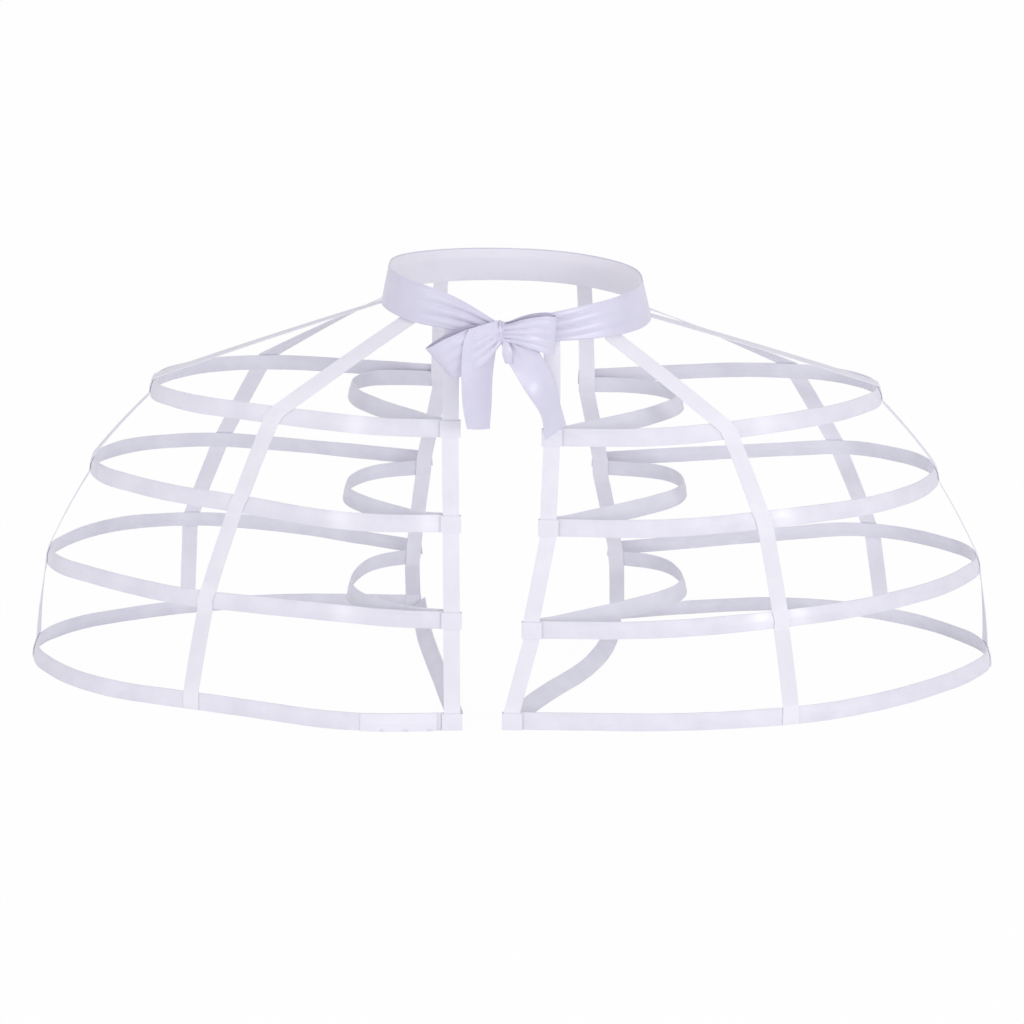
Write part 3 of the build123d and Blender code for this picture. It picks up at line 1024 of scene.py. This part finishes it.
for side_name, (slope, arch, skew, outline, widths) in LOOPS.items():
    side = SIDES[side_name]
    fall = math.radians(slope)
    axis = np.array([side * math.cos(fall), 0, -math.sin(fall)])
    rising = np.array([side * math.sin(fall), 0, math.cos(fall)])
    reach = max(x for x, _ in outline)
    line = Line([(x, y, 0) for x, y in outline], bow_arc_steps)
    rows = []
    for distance in np.linspace(0, line.length, loop_rows):
        x, y, _ = line.at(distance)
        far = min(1, x / reach)
        half = np.interp(x, *zip(*widths))
        in_front = distance > line.length / 2
        bell = math.sin(math.pi * far)
        row = []
        for v in ACROSS:
            ridge = gathers(v, loop_folds, fold_start + far)
            fold = loop_fold * ridge * math.exp(-fold_fade * far) * min(1, fold_onset * far)
            puff = loop_puff * (1 - v * v) * bell
            dent = loop_dent * math.sin(dent_turn * far + dent_slant * v) * bell
            lift = fold + puff + dent if in_front else -back_share * (fold + puff)
            row.append(knot + axis * x * (1 + skew * v * far) + FRONT * (y + lift)
                       + rising * (v * half + arch * bell))
        rows.append(row)
    sash.thick(np.array(rows), bow_depth)

# The tails: the left one comes out over the knot, the right one from under it. They open
# nearly to the ribbon's width and are cut off square. Each row has the place of the ribbon's
# middle from the knot, its tilt from level, how far it is turned away and its width.
TAILS = {
    "left": [((-15, -9, 10), -15, 8, 27), ((-17, -9, -3), -4, 12, 32),
             ((-19, -8, -17), 0, 20, 33), ((-21, -6, -43), 2, 32, 34),
             ((-21, -4, -70), 6, 36, 33), ((-20, -3, -94), 12, 42, 29)],
    "right": [((7, -5, 0), -35, 0, 14), ((18, -5, -15), -27, 0, 28),
              ((32, -4, -39), -22, 15, 30), ((47, -3, -71), -14, 55, 32),
              ((53, -2, -98), -12, 52, 34)],
}
tail_curl = {"left": 2.2, "right": 1.2}
tail_fold = {"left": 0.5, "right": 1.6}
tail_folds = 3
tail_opening = 2.6
tail_rows = 50


def smooth_between(values, share):
    """Passes through each value in turn, with an even slope at each."""
    values = np.array(values, float)
    position = share * (len(values) - 1)
    index = min(int(position), len(values) - 2)
    t = position - index
    slopes = np.gradient(values, axis=0)
    return ((2 * t ** 3 - 3 * t ** 2 + 1) * values[index] + (t ** 3 - 2 * t ** 2 + t)
            * slopes[index] + (3 * t ** 2 - 2 * t ** 3) * values[index + 1]
            + (t ** 3 - t ** 2) * slopes[index + 1])


for side_name, shape in TAILS.items():
    table = [(*place, tilt, turn, width) for place, tilt, turn, width in shape]
    rows = []
    for share in np.linspace(0, 1, tail_rows):
        x, y, z, tilt, turn, width = smooth_between(table, share)
        level = math.radians(tilt)
        away = math.radians(turn)
        across = np.array([math.cos(level) * math.cos(away),
                           math.cos(level) * math.sin(away), -math.sin(level)])
        gather = max(0, 1 - share * tail_opening)
        row = []
        for v in ACROSS:
            fold = tail_fold[side_name] * gather * math.cos(tail_folds * math.pi * v)
            curl = tail_curl[side_name] * (1 - v * v) * (1 - gather)
            row.append(knot + (x, y, z) + across * v * width / 2
                       + FRONT * (fold + curl + hemmed(v)))
        rows.append(row)
    sash.thick(np.array(rows), bow_depth)

# The tuck: a narrow fold of the right tail, pulled out below the knot. Its path is seen
# from the side, and it is widest half way down.
tuck_places = [(0, -1, 0), (0, -5, -12), (0, -4, -23), (0, -1, -23), (0, 0, -6)]
tuck_path = Line(tuck_places, bow_arc_steps)
tuck_x, tuck_y, tuck_z = 6, -4, -5
tuck_slant = 0.12
tuck_half = 1.8
tuck_swell = 2.8
tuck_height = 26
tuck_puff = 1.2
tuck_rows = 28
tuck_columns = 11
knot_depth = 0.6
rows = []
for distance in np.linspace(0, tuck_path.length, tuck_rows):
    _, y, z = tuck_path.at(distance)
    half = tuck_half + tuck_swell * math.sin(math.pi * min(1, -z / tuck_height))
    rows.append([knot + (tuck_x - tuck_slant * z + v * half,
                         y + tuck_y - tuck_puff * (1 - v * v), z + tuck_z)
                 for v in np.linspace(-1, 1, tuck_columns)])
sash.thick(np.array(rows), knot_depth)

# The knot: the ribbon turned once round itself over the roots of the loops and tails,
# with creases that run up and over it.
knot_half = np.array([8.0, 7.5, 12.0])
knot_crease = 0.2
knot_folds = 5
knot_swirl = 0.9
knot_round = 0.82
knot_end = 0.02
knot_rows = 57
knot_columns = 21
rows = []
for turn in np.linspace(0, 2 * math.pi, knot_rows):
    row = []
    for v in np.linspace(-1, 1, knot_columns):
        bulge = math.sqrt(max(knot_end, 1 - knot_round * v * v))
        ridge = gathers(v, knot_folds, knot_swirl * math.sin(turn))
        reach = bulge * (1 - knot_crease * (1 - ridge))
        row.append(knot + np.array([v * knot_half[0], -math.cos(turn) * knot_half[1] * reach,
                                    math.sin(turn) * knot_half[2] * reach]))
    rows.append(row)
sash.thick(np.array(rows), knot_depth)
piece = sash.piece("sash_ribbon", sash_satin)
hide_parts("waist_sash")
